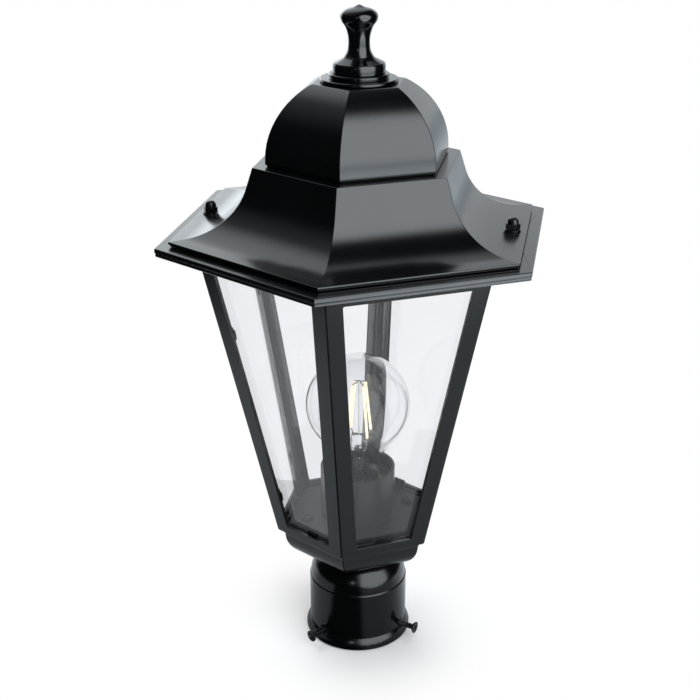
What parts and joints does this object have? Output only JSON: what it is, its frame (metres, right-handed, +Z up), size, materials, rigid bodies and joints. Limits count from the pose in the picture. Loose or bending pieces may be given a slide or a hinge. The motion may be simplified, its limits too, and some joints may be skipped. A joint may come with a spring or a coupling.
{
  "type": "post top lantern",
  "caption": "Six-sided garden lantern for a post top: tapered glazed frames, concave roof with domed cupola and turned finial, slip-over cup clamped by radial screws.",
  "frame": {"origin": "on the lantern's axis, in the plane of the post cup's mouth", "axes": "+Z up along the axis towards the finial, +X square to a glazed side under one of the roof's cap nuts, +Y towards a corner"},
  "size_m": [0.1992, 0.23, 0.3832],
  "materials": {
    "black_casting": "semi-gloss black paint over die-cast metal",
    "black_holder": "satin black moulding",
    "pane_glass": "clear float glass",
    "bulb_glass": "clear thin glass",
    "plated_steel": "zinc plated steel",
    "dark_screw": "blackened steel screw",
    "cap_nut_steel": "nickel plated steel",
    "cap_aluminium": "drawn aluminium",
    "contact_brass": "bare brass",
    "insulator_black": "fused black glass insulator",
    "terminal_plastic": "ivory moulded plastic",
    "filament_cream": "yellow phosphor over filament",
    "support_wire": "bare metal wire"
  },
  "bodies": {
    "lantern": {"fitter": "black_casting", "stem_nipple": "plated_steel", "nipple_nuts": "plated_steel", "base_bowl": "black_casting", "earth_screw": "contact_brass", "side_frame_1": "black_casting", "side_frame_2": "black_casting", "side_frame_3": "black_casting", "side_frame_4": "black_casting", "side_frame_5": "black_casting", "side_frame_6": "black_casting", "pane_1": "pane_glass", "pane_2": "pane_glass", "pane_3": "pane_glass", "pane_4": "pane_glass", "pane_5": "pane_glass", "pane_6": "pane_glass", "pane_clips": "plated_steel", "eave_ring": "black_casting", "ring_screws": "plated_steel", "floor_plate": "black_casting", "floor_screws": "plated_steel", "holder_sleeve": "black_holder", "lamp_socket": "black_holder", "socket_shell": "contact_brass", "socket_contact": "contact_brass", "socket_screws": "plated_steel", "terminal_block": "terminal_plastic", "terminal_screws": "contact_brass", "roof_screws": "plated_steel"},
    "clamp_1": {"clamp_screw_1": "dark_screw"},
    "clamp_2": {"clamp_screw_2": "dark_screw"},
    "clamp_3": {"clamp_screw_3": "dark_screw"},
    "bulb": {"bulb_glass": "bulb_glass", "bulb_cap": "cap_aluminium", "bulb_insulator": "insulator_black", "bulb_contact": "contact_brass", "bulb_stem": "bulb_glass", "filaments": "filament_cream", "filament_wires": "support_wire"},
    "roof": {"roof_skirt": "black_casting", "cupola": "black_casting", "finial_collar": "black_casting", "finial": "black_casting", "tie_rod": "plated_steel", "bridge_bar": "plated_steel", "rod_nut": "plated_steel", "nut_washers": "cap_nut_steel"},
    "nut_left": {"cap_nut_left": "cap_nut_steel"},
    "nut_right": {"cap_nut_right": "cap_nut_steel"}
  },
  "joints": [
    {"name": "clamp_1_drive", "type": "slide", "parent": "lantern", "child": "clamp_1", "axis": [0.5592, 0.829, 0], "range_m": [-0.002, 0.008]},
    {"name": "clamp_2_drive", "type": "slide", "parent": "lantern", "child": "clamp_2", "axis": [-0.9483, 0.3173, 0], "range_m": [-0.002, 0.008]},
    {"name": "clamp_3_drive", "type": "slide", "parent": "lantern", "child": "clamp_3", "axis": [0.3223, -0.9466, 0], "range_m": [-0.002, 0.008]},
    {"name": "bulb_out", "type": "slide", "parent": "lantern", "child": "bulb", "axis": [0, 0, 1], "range_m": [0, 0.04]},
    {"name": "roof_lift", "type": "slide", "parent": "lantern", "child": "roof", "axis": [0, 0, 1], "range_m": [0, 0.12]},
    {"name": "nut_left_off", "type": "slide", "parent": "roof", "child": "nut_left", "axis": [0, 0, 1], "range_m": [0, 0.012]},
    {"name": "nut_right_off", "type": "slide", "parent": "roof", "child": "nut_right", "axis": [0, 0, 1], "range_m": [0, 0.012]}
  ]
}
